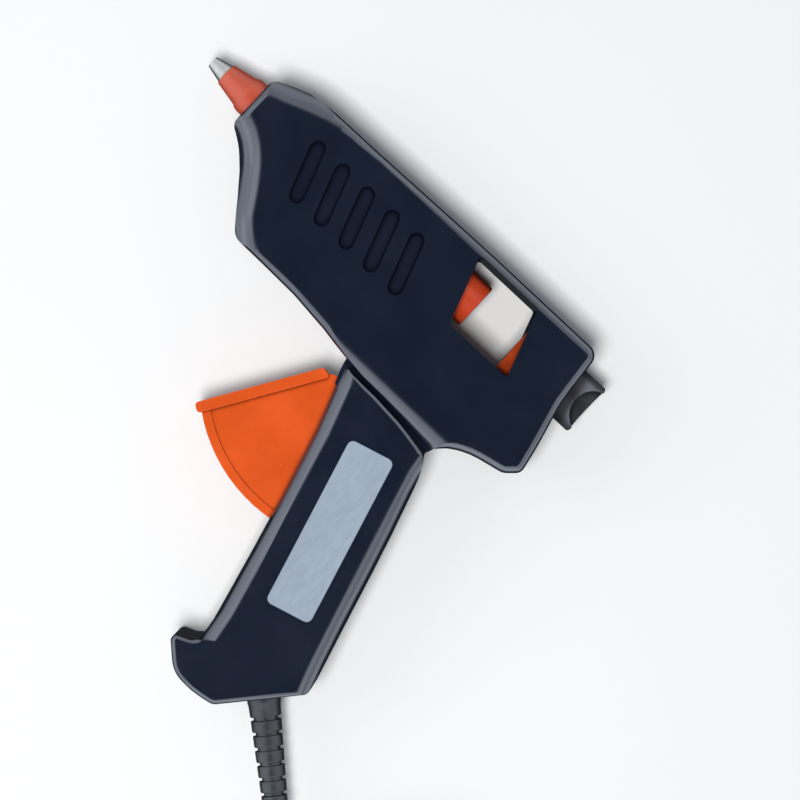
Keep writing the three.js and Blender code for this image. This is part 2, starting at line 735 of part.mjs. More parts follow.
add("inlet_collar", cut(
  turned([
    [collarFlangeX, stickBore / 2 + 0.2],
    [collarFlangeX, collarFlangeDiameter / 2],
    [collarFlangeX + collarFlangeLength, collarFlangeDiameter / 2],
    [collarFlangeX + collarFlangeLength, collarDiameter / 2],
    [collarEndX - 0.5, collarDiameter / 2],
    [collarEndX, collarDiameter / 2 - 0.5],
    [collarEndX, stickBore / 2 + 0.9],
    [collarEndX - 3, stickBore / 2 + 0.2],
    [collarFlangeX, stickBore / 2 + 0.2],
  ], 30),
  post(thumbNotchX, 0, thumbNotchRadius, 0, far, 36),
), "blackPlastic");

// ------------------------------------------------------------------ feed carriage and grip jaw
const carriageRearX = carriageFrontX + carriageLength;
const jawPin = new THREE.Vector2(carriageRearX - 3.4, -11.7);
const jawWidth = 3.8;
const jawSlotFrontX = carriageFrontX + 1.9;
const biteY = -stickBore / 2 + 0.1; // tip of the jaw, at the stick's underside
const carriageSide = carriageWidth / 2;

const carriageOutline = rounded([
  [carriageFrontX, carriageFootY, 0.6],
  [carriageRearX, carriageFootY, 2],
  [carriageRearX, carriageTopY, 2],
  [carriageFrontX, carriageTopY, 2],
], 30);
const legOutline = rounded([
  [drivePinX - 3.6, carriageFootY, 1.5],
  [carriageFrontX + 2, carriageFootY, 0],
  [carriageFrontX + 2, legTopY, 0],
  [drivePinX - 3.6, legTopY, 1.5],
], 30);
add("feed_carriage", cut(
  join(plate(carriageOutline, -carriageSide, carriageSide), plate(legOutline, -legWidth / 2, legWidth / 2)),
  turned([[0, 0], [0, stickBore / 2 + 0.2], [far, stickBore / 2 + 0.2], [far, 0]]),
  block(jawSlotFrontX, carriageRearX - 0.6, carriageFootY - 1, 0,
    -jawWidth / 2 - slideFit, jawWidth / 2 + slideFit),
  post(jawPin.x, jawPin.y, 1.25 + pinFit, -carriageSide - 1, carriageSide + 1, 14),
  post(drivePinX, drivePinY, drivePinDiameter / 2 + pinFit, -far, far, 18),
), "orangePlastic");
add("drive_pin", post(drivePinX, drivePinY, drivePinDiameter / 2, -triggerSideOuter - 0.3,
  triggerSideOuter + 0.3, 18), "steel");
add("jaw_pin", post(jawPin.x, jawPin.y, 1.25, -carriageSide + 0.5, carriageSide - 0.5, 14), "steel");

const jawOutline = rounded([
  [jawPin.x + 2.4, jawPin.y, 2.3],
  [jawPin.x + 0.2, jawPin.y + 2.6, 2.3],
  [jawPin.x - 4.4, biteY - 1.4, 0.3],
  [jawPin.x - 6.4, biteY, 0],
  [jawPin.x - 6.9, biteY - 1.3, 0],
  [jawPin.x - 7.8, biteY - 0.5, 0],
  [jawPin.x - 7.9, biteY - 3.2, 0.4],
  [jawPin.x - 4.6, jawPin.y - 2, 1],
  [jawPin.x, jawPin.y - 2.5, 2.3],
], 30);
add("grip_jaw", cut(
  plate(jawOutline, -jawWidth / 2, jawWidth / 2),
  post(jawPin.x, jawPin.y, 1.25 + pinFit, -far, far, 14),
), "steel");

// ------------------------------------------------------------------ trigger, pin and spring
const barLine = new THREE.Vector2(-Math.sin(radians(barAngle)), -Math.cos(radians(barAngle)));
const barNormal = new THREE.Vector2(-barLine.y, barLine.x).negate(); // towards the fingers
const onBar = (along, depth) =>
  pivot.clone().addScaledVector(barLine, along).addScaledVector(barNormal, barOffset - depth);
// Where the bar's front, or a line behind it, meets a circle about the pivot.
const barReach = (radius, depth) => Math.sqrt(radius ** 2 - (barOffset - depth) ** 2);
const barTop = 10; // from the pivot's level along the bar to its upper end

function triggerBody() {
  const sideIn = triggerSideOuter - triggerSideThickness;
  const barEnd = onBar(barReach(triggerRadius + 1.6, 0), 0);
  const front = rounded([
    [...onBar(barTop, 0).toArray(), 1.2],
    [...barEnd.toArray(), 1],
    [...onBar(barReach(triggerRadius + 1.2, barThickness), barThickness).toArray(), 1],
    [...onBar(barTop - 1, barThickness).toArray(), 0.8],
  ], 30);
  const bar = plate(front, -triggerWidth / 2, triggerWidth / 2);

  const frontAngle = THREE.MathUtils.radToDeg(Math.atan2(-(barEnd.x - pivot.x), -(barEnd.y - pivot.y)));
  const sector = sectorPoints(triggerRadius, frontAngle - 3, triggerRearAngle, 12);
  const rimIn = sectorPoints(triggerRadius - rimThickness, frontAngle + 10, triggerRearAngle + 10, 14);
  const rim = cut(plate(sector, -triggerWidth / 2 + 0.5, triggerWidth / 2 - 0.5), plate(rimIn, -far, far));
  const web = [
    onBar(barReach(triggerRadius, barThickness / 2), barThickness / 2),
    ...sector.slice(2),
    new THREE.Vector2(pivot.x + hubRadius, pivot.y),
    pivot.clone(),
    onBar(barTop, barThickness / 2),
  ];
  const forkHalf = drivePinDiameter / 2 + 0.3 + 2.3;
  const forkTop = driveArm / Math.cos(swing / 2) + drivePinDiameter / 2 + 1.2;
  const lean = new THREE.Matrix4()
    .makeRotationZ(-swing / 2)
    .setPosition(pivot.x, pivot.y, 0);
  const fork = placed(
    plate(rounded([
      [-hubRadius, 0, 0], [hubRadius, 0, 0], [forkHalf, forkTop - 8, 3],
      [forkHalf, forkTop, 1.2], [-forkHalf, forkTop, 1.2], [-forkHalf, forkTop - 8, 3],
    ], 30), -triggerSideOuter, triggerSideOuter),
    lean,
  );
  const slotHalf = drivePinDiameter / 2 + 0.3;
  const slot = placed(block(-slotHalf, slotHalf, driveArm / Math.cos(swing / 2) - 4.2, far, -far, far), lean);
  const sides = cut(
    join(
      plate(web, -triggerSideOuter, triggerSideOuter),
      post(pivot.x, pivot.y, hubRadius, -triggerSideOuter, triggerSideOuter, 24),
      fork,
    ),
    plate([[-far, -far], [far, -far], [far, far], [-far, far]].map(([x, y]) => new THREE.Vector2(x, y)),
      -sideIn, sideIn),
  );
  // A bridge joins the fork's two arms below the leg of the carriage.
  const bridge = placed(block(-3, 3, hubRadius + 0.8, hubRadius + 3.6, -sideIn - 0.5, sideIn + 0.5), lean);
  return cut(
    join(bar, rim, sides, bridge),
    slot,
    post(pivot.x, pivot.y, pivotPinDiameter / 2 + pinFit, -far, far, 24),
  );
}
add("trigger", triggerBody(), "orangePlastic");

add("pivot_pin", post(pivot.x, pivot.y, pivotPinDiameter / 2, -pivotPinLength / 2, pivotPinLength / 2, 24),
  "steel");

// The return spring's coil with its fixed leg, which bears on a post in the right half,
// and the leg that lies behind the finger bar and swings with the trigger.
const springRadius = springDiameter / 2;
const springRise = springWire + 0.35;
const fixedLegAngle = 215; // degrees, where the fixed leg leaves the coil
const fixedLegLength = 14.5;
const pushLegAngle = 180 - barAngle;
const springSweep = 360 * springTurns - (fixedLegAngle - pushLegAngle);
const springHalfZ = (springRise * springSweep) / 720;
class Helix extends THREE.Curve {
  getPoint(t, target = new THREE.Vector3()) {
    const angle = radians(fixedLegAngle + springSweep * t);
    const [x, y] = [springRadius * Math.cos(angle), springRadius * Math.sin(angle)];
    return target.set(pivot.x + x, pivot.y + y, springHalfZ * (2 * t - 1));
  }
}
const legStart = new THREE.Vector2(springRadius, 0)
  .rotateAround(new THREE.Vector2(), radians(fixedLegAngle));
const legHeading = legStart.clone().rotateAround(new THREE.Vector2(), -Math.PI / 2).normalize();
const legEnd = legStart.clone().addScaledVector(legHeading, fixedLegLength);
const lineAt = (from, to, z) =>
  new THREE.LineCurve3(new THREE.Vector3(from.x, from.y, z), new THREE.Vector3(to.x, to.y, z));
add("return_spring", join(
  wire(new Helix(), springWire / 2, 6, Math.round(springTurns * 10)),
  wire(lineAt(legStart.clone().add(pivot), legEnd.clone().add(pivot), -springHalfZ), springWire / 2, 6, 1),
), "steel");
const pushDepth = barThickness + springWire / 2 + seam; // behind the bar
const pushRoute = [[0.6, barOffset - springRadius], [3, barOffset - springRadius], [barTop - 2, pushDepth],
  [barTop + 2, pushDepth], [22, pushDepth]];
add("return_spring_leg", wire(smoothCurve(pushRoute.map(([along, depth]) =>
  [...onBar(along, depth).toArray(), springHalfZ])), springWire / 2, 6, 10), "steel");

// ------------------------------------------------------------------ leads and connectors
// Both leads run from the heater along the right half, past the trigger's side, to two
// crimped joints in the handle, where the cord's cores take over.
const leadRadius = 1.1;
const coreRadius = 0.95;
const leadZ = -9.9;
const crimpAngle = -76;
const crimpHalf = 4.8;
const crimpAlong = new THREE.Vector2(1, 0).rotateAround(new THREE.Vector2(), radians(crimpAngle));
const crimpPlaces = [new THREE.Vector2(127.2, -71), new THREE.Vector2(121.6, -73)];
const leadRoutes = [
  [[67.5, -14.9, -2.2], [71, -18.6, -7], [76.5, -21.6, leadZ], [85, -21.9, leadZ], [98, -22.6, leadZ],
    [109, -29, leadZ], [112.6, -38, leadZ], [112.9, -46, leadZ], [115, -54, leadZ], [122.6, -60.4, leadZ]],
  [[65, -19.8, -5.4], [69, -23.6, -9], [75, -24.9, leadZ], [84, -24.8, leadZ], [97, -25.4, leadZ],
    [106, -30.6, leadZ], [109.2, -38.6, leadZ], [109.6, -47, leadZ], [111.6, -56, leadZ], [117, -62.4, leadZ]],
];
const coreRoutes = [
  [[129.6, -81, -9.4], [128.4, -91, -6.6], [122.9, -99.6, -3], [119.9, -104.4, -1]],
  [[123.8, -83, -9.4], [121.9, -91, -7], [117.2, -98.4, -3.4], [115.6, -104, -0.8]],
];
const cordEnd = onExit(-cordInside);
const across = new THREE.Vector2(-exitDirection.y, exitDirection.x);
crimpPlaces.forEach((crimp, i) => {
  const contactY = packY + (i ? -1 : 1) * (ceramicHalfY + 0.4);
  const contactZ = i ? -1.8 : 1.8;
  const leadEnd = crimp.clone().addScaledVector(crimpAlong, -crimpHalf - seam);
  const coreStart = crimp.clone().addScaledVector(crimpAlong, crimpHalf + seam);
  add("heater_lead_" + (i + 1), wire(smoothCurve([
    [packX1 + 6 + seam, contactY, contactZ],
    [packX1 + 8.5, contactY - 0.6 - 0.6 * i, contactZ],
    ...leadRoutes[i],
    [leadEnd.x, leadEnd.y, leadZ],
  ]), leadRadius, 8, 26), "lead");
  add("crimp_" + (i + 1), placed(
    turned([[-crimpHalf, 0], [-crimpHalf, 1.5], [-crimpHalf + 0.6, 2], [crimpHalf - 0.6, 2],
      [crimpHalf, 1.5], [crimpHalf, 0]], 14),
    new THREE.Matrix4().makeRotationZ(radians(crimpAngle)).setPosition(crimp.x, crimp.y, leadZ),
  ), "film");
  const beside = (distance) =>
    cordEnd.clone().addScaledVector(exitDirection, -distance).addScaledVector(across, i ? -1.25 : 1.25);
  add("cord_core_" + (i + 1), wire(smoothCurve([
    [coreStart.x, coreStart.y, leadZ],
    ...coreRoutes[i],
    [beside(2.6).x, beside(2.6).y, 0],
    [beside(seam).x, beside(seam).y, 0],
  ]), coreRadius, 8, 16), i ? "cord" : "lead");
});

// ------------------------------------------------------------------ strain relief and clamp
const cordRadius = cordDiameter / 2;
const exitEnd = onExit(bootLength);
add("cord_inner", placed(turned([[-cordInside, 0], [-cordInside, cordRadius], [bootLength, cordRadius],
  [bootLength, 0]], 20), exitMatrix), "cord");
add("strain_relief", placed(turned([
  [-wall - 3, cordRadius + seam],
  [-wall - 3, bootDiameter / 2 + 1.6],
  [-wall - seam, bootDiameter / 2 + 1.6],
  [-wall - seam, bootDiameter / 2 - 0.2],
  [seam, bootDiameter / 2 - 0.2],
  [seam, bootDiameter / 2],
  [4, bootDiameter / 2 - 0.1],
  [bootLength - 0.8, bootEndDiameter / 2 + 0.1],
  [bootLength, bootEndDiameter / 2 - 0.2],
  [bootLength, cordRadius + seam],
  [-wall - 3, cordRadius + seam],
], 28), exitMatrix), "rubber");

const clampUnderside = cordRadius + seam;
add("cord_clamp", cut(
  placed(block(-3, 3, -clampSpread / 2 - 3, clampSpread / 2 + 3, clampUnderside, clampUnderside + 2.6), clampMatrix),
  ...clampPosts.map(({ x, y }) => post(x, y, 1.1 + seam, -far, far, 12)),
), "blackPlastic");
clampPosts.forEach(({ x, y }, i) => {
  const seatZ = clampUnderside + 2.6 + seam;
  add("clamp_screw_" + (i + 1), join(
    post(x, y, 2.2, seatZ, seatZ + 1.6, 14),
    post(x, y, 1.1, -cordRadius - 6, seatZ + 0.5, 10),
  ), "steel");
});

// ------------------------------------------------------------------ cord, coil and plug
// The cord's own frame: x runs on from the end of the boot, y to its left, z up from the
// table. It drops to the table, winds inwards and out again in a coil, and ends at the plug.
const cordFrame = new THREE.Matrix4()
  .makeRotationZ(radians(exitAngle))
  .setPosition(exitEnd.x, exitEnd.y, -half);
const cordPitch = cordDiameter + 0.1;
const coilHalfWidth = (coilTurnsWide * cordPitch) / 2;
const coilHeight = coilLayers * cordPitch;
const coilOuterTurn = coilDiameter / 2 + coilHalfWidth - cordPitch / 2;
const coilCentre = new THREE.Vector2(leadIn, coilOuterTurn);
const coilRing = (grow) =>
  turned(tubeProfile(coilLift - grow, coilLift + coilHeight + grow,
    coilDiameter / 2 - coilHalfWidth - grow, coilDiameter / 2 + coilHalfWidth + grow), 40)
    .transform(new THREE.Matrix4().makeRotationY(-Math.PI / 2).elements)
    .transform(new THREE.Matrix4().makeTranslation(coilCentre.x, coilCentre.y, 0).elements);
const leadInRoute = [[seam, 0, 15.5], [10, 0, 15], [22, 0, 11.3], [34, 0, 6.4], [leadIn, 0, 4.05]];
add("power_cord", placed(cut(wire(smoothCurve(leadInRoute), cordRadius, 10, 8), coilRing(seam)), cordFrame), "cord");

// The tail and the plug have a frame of their own: its middle is the coil's, and its y axis
// is the way that the tail leaves the outer turn, up the table like the barrel's height.
const tailFrame = cordFrame.clone().multiply(
  new THREE.Matrix4().makeRotationZ(radians(-exitAngle)).setPosition(coilCentre.x, coilCentre.y, 0));
const tailX = coilOuterTurn;
const plugBackY = 27.5;
const tailRoute = [[0, 9.6], [10.5, 9.1], [19.5, 7.3], [plugBackY - seam, plugThickness / 2]]
  .map(([along, z]) => [tailX, along, z]);
add("power_cord_tail", cut(
  placed(wire(smoothCurve(tailRoute), cordRadius, 10, 5), tailFrame),
  placed(coilRing(seam), cordFrame),
), "cord");
add("cord_coil", placed(coilRing(0), cordFrame), "cord");

const tieInner = coilHalfWidth + seam;
const tieBox = (grow) =>
  block(coilCentre.x - grow * 50 - tieWidth / 2, coilCentre.x + grow * 50 + tieWidth / 2,
    coilCentre.y - coilDiameter / 2 - tieInner - (grow ? 0 : tieThickness),
    coilCentre.y - coilDiameter / 2 + tieInner + (grow ? 0 : tieThickness),
    coilLift - seam - (grow ? 0 : tieThickness), coilLift + coilHeight + seam + (grow ? 0 : tieThickness));
add("cord_tie", placed(cut(tieBox(0), tieBox(1)), cordFrame), "blackPlastic");

const plugAxisZ = plugThickness / 2;
const plugOutline = rounded([
  [tailX - plugWidth / 2, plugBackY + plugLength, 2.5],
  [tailX - plugWidth / 2, plugBackY + plugLength - 9, 5],
  [tailX - 6, plugBackY + 13, 8],
  [tailX - 4.6, plugBackY, 1.5],
  [tailX + 4.6, plugBackY, 1.5],
  [tailX + 6, plugBackY + 13, 8],
  [tailX + plugWidth / 2, plugBackY + plugLength - 9, 5],
  [tailX + plugWidth / 2, plugBackY + plugLength, 2.5],
]);
add("plug_body", placed(
  pillow(plugOutline, plugThickness, 1.4, 2).transform(new THREE.Matrix4().makeTranslation(0, 0, plugAxisZ).elements),
  tailFrame,
), "blackPlastic");
[-1, 1].forEach((side, i) => {
  const bar = turned([[seam, 0], [seam, plugPinDiameter / 2], [plugPinLength - 1, plugPinDiameter / 2],
    [plugPinLength, plugPinDiameter / 2 - 0.9], [plugPinLength, 0]], 16);
  const place = new THREE.Matrix4()
    .makeRotationZ(Math.PI / 2)
    .setPosition(tailX + (side * pinSpacing) / 2, plugBackY + plugLength, plugAxisZ);
  add("plug_pin_" + (i + 1), placed(placed(bar, place), tailFrame), "brightMetal");
});

// ------------------------------------------------------------------ rating label
add("rating_label", placed(
  plate(rounded([
    [-labelWidth / 2, -labelLength / 2, 1.8],
    [labelWidth / 2, -labelLength / 2, 1.8],
    [labelWidth / 2, labelLength / 2, 1.8],
    [-labelWidth / 2, labelLength / 2, 1.8],
  ], 25), half + labelGap, half + labelGap + labelThickness),
  new THREE.Matrix4().makeRotationZ(radians(labelLean)).setPosition(labelCentre.x, labelCentre.y, 0),
), "label");

// ------------------------------------------------------------------ set down on the table
gun.updateMatrixWorld(true);
const box = new THREE.Box3();
const onCord = /^(strain_relief|cord_inner|power_cord|power_cord_tail|cord_coil|cord_tie|plug_.*)$/;
gun.children.filter((mesh) => !onCord.test(mesh.name)).forEach((mesh) => box.expandByObject(mesh));
const middle = box.getCenter(new THREE.Vector3());
gun.position.set(-middle.x, -middle.y, half);

const object = new THREE.Group();
object.add(gun);

export default object;
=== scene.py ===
import json
import math

import bmesh
import bpy
from mathutils import Matrix, Vector


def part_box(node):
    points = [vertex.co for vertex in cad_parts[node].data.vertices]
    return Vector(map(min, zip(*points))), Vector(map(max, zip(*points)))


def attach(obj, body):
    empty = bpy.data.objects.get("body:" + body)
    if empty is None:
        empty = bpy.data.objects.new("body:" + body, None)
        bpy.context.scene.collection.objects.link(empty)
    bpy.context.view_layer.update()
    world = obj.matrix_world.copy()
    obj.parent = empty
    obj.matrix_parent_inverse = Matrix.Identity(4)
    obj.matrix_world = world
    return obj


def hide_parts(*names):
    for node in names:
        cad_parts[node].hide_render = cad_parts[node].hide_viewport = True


# A hot glue gun lying on its right side. Lengths in this script are in millimetres in
# the gun's own frame (feed axis at y = 0, parting plane at z = 0, x towards the rear),
# and at() turns them into the frame's metres.
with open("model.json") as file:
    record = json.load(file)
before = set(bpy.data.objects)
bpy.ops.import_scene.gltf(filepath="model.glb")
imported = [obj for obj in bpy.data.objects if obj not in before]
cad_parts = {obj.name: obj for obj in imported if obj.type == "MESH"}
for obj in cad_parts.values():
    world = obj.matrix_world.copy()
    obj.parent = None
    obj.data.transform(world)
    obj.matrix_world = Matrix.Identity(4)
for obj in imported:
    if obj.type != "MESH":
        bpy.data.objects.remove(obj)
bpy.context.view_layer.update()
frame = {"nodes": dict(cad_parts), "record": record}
nodes = frame["nodes"]
scene = bpy.context.scene
MM = 0.001
PIVOT = (95.0, -38.1)


def middle(node):
    low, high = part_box(node)
    return (Vector(low) + Vector(high)) / 2


ORIGIN = middle("pivot_pin") - Vector((*PIVOT, 0)) * MM


def at(x, y, z=0.0):
    return ORIGIN + Vector((x, y, z)) * MM


# ---------------------------------------------------------------- camera
PHOTO_TURN = math.radians(43)  # the feed axis in the picture, down from the right
CAMERA_HEIGHT, PICTURE_WIDTH = 0.85, 0.232  # m
PICTURE_CENTRE = (105.9, -34.7)
SENSOR = 36
right = Vector((math.cos(PHOTO_TURN), math.sin(PHOTO_TURN), 0))
up = Vector((-right.y, right.x, 0))

camera_data = bpy.data.cameras.new("camera")
camera_data.sensor_width = SENSOR
camera_data.lens = SENSOR * CAMERA_HEIGHT / PICTURE_WIDTH
camera_data.clip_start = 0.01
camera = bpy.data.objects.new("camera", camera_data)
turn = Matrix((right, up, Vector((0, 0, 1)))).transposed().to_4x4()
camera.matrix_world = Matrix.Translation(at(*PICTURE_CENTRE, CAMERA_HEIGHT / MM)) @ turn
scene.collection.objects.link(camera)
scene.camera = camera


# ---------------------------------------------------------------- mesh building
def mesh_object(name, bm):
    """Puts a bmesh in metres into the scene as an object."""
    mesh = bpy.data.meshes.new(name)
    bm.to_mesh(mesh)
    bm.free()
    piece = bpy.data.objects.new(name, mesh)
    scene.collection.objects.link(piece)
    return piece


def bridge(bm, rings):
    """Faces from each ring of vertices to the next."""
    for near, far in zip(rings, rings[1:]):
        for i in range(len(near)):
            j = (i + 1) % len(near)
            bm.faces.new((near[i], near[j], far[j], far[i]))


def cap(bm, rings):
    """Closes the first and the last ring with a face each."""
    bm.faces.new(rings[0][::-1])
    bm.faces.new(rings[-1])


# ---------------------------------------------------------------- cord
# The cord's own frame: x runs on from the end of the boot, y to its left, z from the floor.
EXIT = (135.2, -124.2)
EXIT_ANGLE = math.radians(-40.9)
BOOT_LENGTH = 38.0
CORD = 5.4  # diameter
CORD_SIDES = 16
COIL_LIFT = 1.3  # the tie runs under the coil
COIL_RADII = (39.25, 33.75, 28.25, 22.75)
COIL_X = 46.0
PLUG_BACK = 27.5  # from the coil's middle line
along = Vector((math.cos(EXIT_ANGLE), math.sin(EXIT_ANGLE), 0))
aside = Vector((-along.y, along.x, 0))


def on_cord(x, y, z):
    start = at(*EXIT) + along * BOOT_LENGTH * MM
    return Vector((start.x, start.y, z * MM)) + (along * x + aside * y) * MM


def ease(t):
    t = min(max(t, 0.0), 1.0)
    return t * t * (3 - 2 * t)


def catmull(points, steps):
    """Points along a smooth curve through the given ones."""
    p = [Vector(q) for q in points]
    p = [2 * p[0] - p[1], *p, 2 * p[-1] - p[-2]]
    line = []
    for i in range(1, len(p) - 2):
        a, b, c, d = p[i - 1 : i + 3]
        for k in range(steps):
            t = k / steps
            square = (2 * a - 5 * b + 4 * c - d) * t * t
            cube = (3 * b - a - 3 * c + d) * t**3
            line.append(0.5 * (2 * b + (c - a) * t + square + cube))
    line.append(p[-2])
    return line


def on_tail(x, y, z):
    return on_cord(COIL_X, COIL_RADII[0], z) + Vector((x, y, 0)) * MM


# Four turns wind inwards on the floor, the cord climbs, and the rest wind outwards on top,
# until the cord heads the way that the tail lies. Each turn steps to the next at the same
# place, beside its neighbour, and the climb keeps clear of the steps under and over it.
COIL_TURNS = 2 * len(COIL_RADII) - 0.75 - EXIT_ANGLE / (2 * math.pi)
LAYERS = (COIL_LIFT + CORD / 2 + 0.05, COIL_LIFT + 1.5 * CORD + 0.15)
STEP_TURNS = 0.36
INWARD_STEP, CLIMB, OUTWARD_STEP = 0.64, 0.54, 0.44  # where each starts, in turns
STEPS_A_TURN, LEAD_STEPS, TAIL_STEPS = 40, 5, 6


def coil_point(turns):
    count = len(COIL_RADII)
    pitch = COIL_RADII[0] - COIL_RADII[1]
    radius = COIL_RADII[0]
    for k in range(count - 1):
        radius -= pitch * ease((turns - k - INWARD_STEP) / STEP_TURNS)
        radius += pitch * ease((turns - count - k - OUTWARD_STEP) / STEP_TURNS)
    climbed = ease((turns - count + 1 - CLIMB) / STEP_TURNS)
    height = LAYERS[0] + (LAYERS[1] - LAYERS[0]) * climbed
    angle = 2 * math.pi * (turns - 0.25)
    return (
        COIL_X + radius * math.cos(angle),
        COIL_RADII[0] + radius * math.sin(angle),
        height,
    )


# The cord sinks from the boot to the floor, and its tail from the upper layer to the plug.
lead_in = [(0.3, 0, 15.5), (10, 0, 15), (22, 0, 11.3), (34, 0, 6.4), (COIL_X, 0, LAYERS[0])]
tail = [(0, LAYERS[1]), (10.5, 9.1), (19.5, 7.3), (PLUG_BACK - 0.3, 6.6)]
coil_steps = round(COIL_TURNS * STEPS_A_TURN)
coil = [coil_point(COIL_TURNS * i / coil_steps) for i in range(coil_steps)]
centreline = [on_cord(*p) for p in catmull(lead_in, LEAD_STEPS)[:-1] + coil]
tail_points = catmull([(COIL_RADII[0], y, z) for y, z in tail], TAIL_STEPS)
centreline += [on_tail(*p) for p in tail_points]


def cord_tube(points, radius):
    """A closed round tube along the points, which never run straight up."""
    bm = bmesh.new()
    rings = []
    last = len(points) - 1
    for i, point in enumerate(points):
        ahead = (points[min(i + 1, last)] - points[max(i - 1, 0)]).normalized()
        level = Vector((0, 0, 1)).cross(ahead).normalized()
        over = ahead.cross(level)
        ring = []
        for k in range(CORD_SIDES):
            a = 2 * math.pi * k / CORD_SIDES
            outward = level * math.cos(a) + over * math.sin(a)
            ring.append(bm.verts.new(point + outward * radius))
        rings.append(ring)
    bridge(bm, rings)
    cap(bm, rings)
    piece = mesh_object("cord_flex", bm)
    piece.data.shade_smooth()
    return piece


cord_flex = cord_tube(centreline, CORD / 2 * MM)


# ---------------------------------------------------------------- shading of edges
SHARP = 32  # degrees that an edge turns before it shows as sharp, or is rounded
WELD = 1e-6  # m
FLAT = 0.3  # degrees between faces that count as one flat face


def angle_group():
    """A node group that shades smooth, with edges over an angle kept sharp."""
    group = bpy.data.node_groups.new("shade_by_angle", "GeometryNodeTree")
    group.interface.new_socket("Geometry", in_out="INPUT", socket_type="NodeSocketGeometry")
    group.interface.new_socket("Angle", in_out="INPUT", socket_type="NodeSocketFloat")
    group.interface.new_socket("Geometry", in_out="OUTPUT", socket_type="NodeSocketGeometry")
    make = group.nodes.new
    entry, leave = make("NodeGroupInput"), make("NodeGroupOutput")
    faces, edges = make("GeometryNodeSetShadeSmooth"), make("GeometryNodeSetShadeSmooth")
    faces.domain, edges.domain = "FACE", "EDGE"
    faces.inputs["Shade Smooth"].default_value = True
    edges.inputs["Shade Smooth"].default_value = False
    angle, compare = make("GeometryNodeInputMeshEdgeAngle"), make("FunctionNodeCompare")
    compare.data_type, compare.operation = "FLOAT", "GREATER_THAN"
    link = group.links.new
    link(entry.outputs["Geometry"], faces.inputs["Geometry"])
    link(faces.outputs["Geometry"], edges.inputs["Geometry"])
    link(angle.outputs["Unsigned Angle"], compare.inputs["A"])
    link(entry.outputs["Angle"], compare.inputs["B"])
    link(compare.outputs["Result"], edges.inputs["Selection"])
    link(edges.outputs["Geometry"], leave.inputs["Geometry"])
    return group


SHADE_BY_ANGLE = angle_group()


def smooth_by_angle(piece):
    modifier = piece.modifiers.new("shading", "NODES")
    modifier.node_group = SHADE_BY_ANGLE
    modifier["Socket_1"] = math.radians(SHARP)


def new_piece(name, bm, replaced, slot):
    """A mesh piece from a bmesh in metres, fixed to the gun in place of a CAD node."""
    bmesh.ops.recalc_face_normals(bm, faces=bm.faces)
    piece = mesh_object(name, bm)
    piece.data.shade_smooth()
    smooth_by_angle(piece)
    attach(piece, "gun_body")
    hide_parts(replaced)
    piece.data.materials.append(BY_SLOT[slot])
    return piece


def soften(node, edge, segments):
    """Smooth shading on a CAD node, with its flat faces merged and its edges rounded."""
    piece = nodes[node]
    if "custom_normal" in piece.data.attributes:
        piece.data.attributes.remove(piece.data.attributes["custom_normal"])
    weld = piece.modifiers.new("weld", "WELD")
    weld.merge_threshold = WELD
    flat = piece.modifiers.new("merge_flats", "DECIMATE")
    flat.decimate_type = "DISSOLVE"
    flat.angle_limit = math.radians(FLAT)
    if edge:
        bevel = piece.modifiers.new("edges", "BEVEL")
        bevel.width = edge * MM
        bevel.segments = segments
        bevel.limit_method = "ANGLE"
        bevel.angle_limit = math.radians(SHARP)
        bevel.miter_outer = "MITER_ARC"
        bevel.use_clamp_overlap = True
    smooth_by_angle(piece)
    normals = piece.modifiers.new("normals", "WEIGHTED_NORMAL")
    normals.keep_sharp = True


# ---------------------------------------------------------------- materials
# Noise patterns, as features per metre, detail and, for one, the detail's strength.
CLOUDS, SPECKS, RUBBING, SHEEN, WAVES = (55, 5, 0.6), (900, 2), (240, 3), (120, 4), (70, 3)
STAINS, SMUDGES, TURNING, SCRATCHES = (140, 4), (260, 3), (9000, 2), (5000, 3)
FIBRES, DIRT, GLOSS, COCKLES, THREADS = (700, 4), (45, 3), (150, 3), (160, 3), (2600, 1)

# Parts of a noise's range that a pattern is drawn from.
MIDDLE, NARROW, WIDE = (0.3, 0.7), (0.35, 0.65), (0.3, 0.75)
UPPER, HIGH, PEAKS = (0.35, 0.7), (0.4, 0.7), (0.68, 0.8)

# Tones, as a factor on a colour and what is added to it; the third darkens corners and recesses
# as painted shade.
SPECK_TONE, RUBBED_TONE, PAINTED_SHADE_TONE, PALE_LIFT = (1.8, 0.01), (1.7, 0.012), (0.35, 0), 0.0015
# The third share here is how much of the specular level the painted shade in corners takes
# away.
SPECK_SHARE, RUBBED_LEAST, PAINTED_SHADE_DULLS = 0.25, 0.15, 0.8

OPEN = 0.97  # share of the sky that an open face sees
EDGE_TURNS = (0.995, 0.86)  # cosines at which an edge starts to look worn, and is all worn
WORN_REACH, STICKER_REACH, METAL_EDGE = 0.9, 0.5, 0.15  # mm
BORE_RIM = 0.3  # mm over which a bore's shade fades out
GRAIN_DEPTH = 0.03  # mm
WAVE_BUMP, COCKLE_BUMP, THREAD_BUMP = (0.12, 0.25), (0.25, 0.08), (0.5, 0.08)  # share, mm
SKIN_RADII, SKIN_DEPTH = (1.0, 0.35, 0.15), 0.002  # how red light spreads furthest, m


def graph(name):
    """A new material, its node tree and its shader."""
    material = bpy.data.materials.new(name)
    material.use_nodes = True
    tree = material.node_tree
    shader = next(n for n in tree.nodes if n.type == "BSDF_PRINCIPLED")
    return material, tree, shader


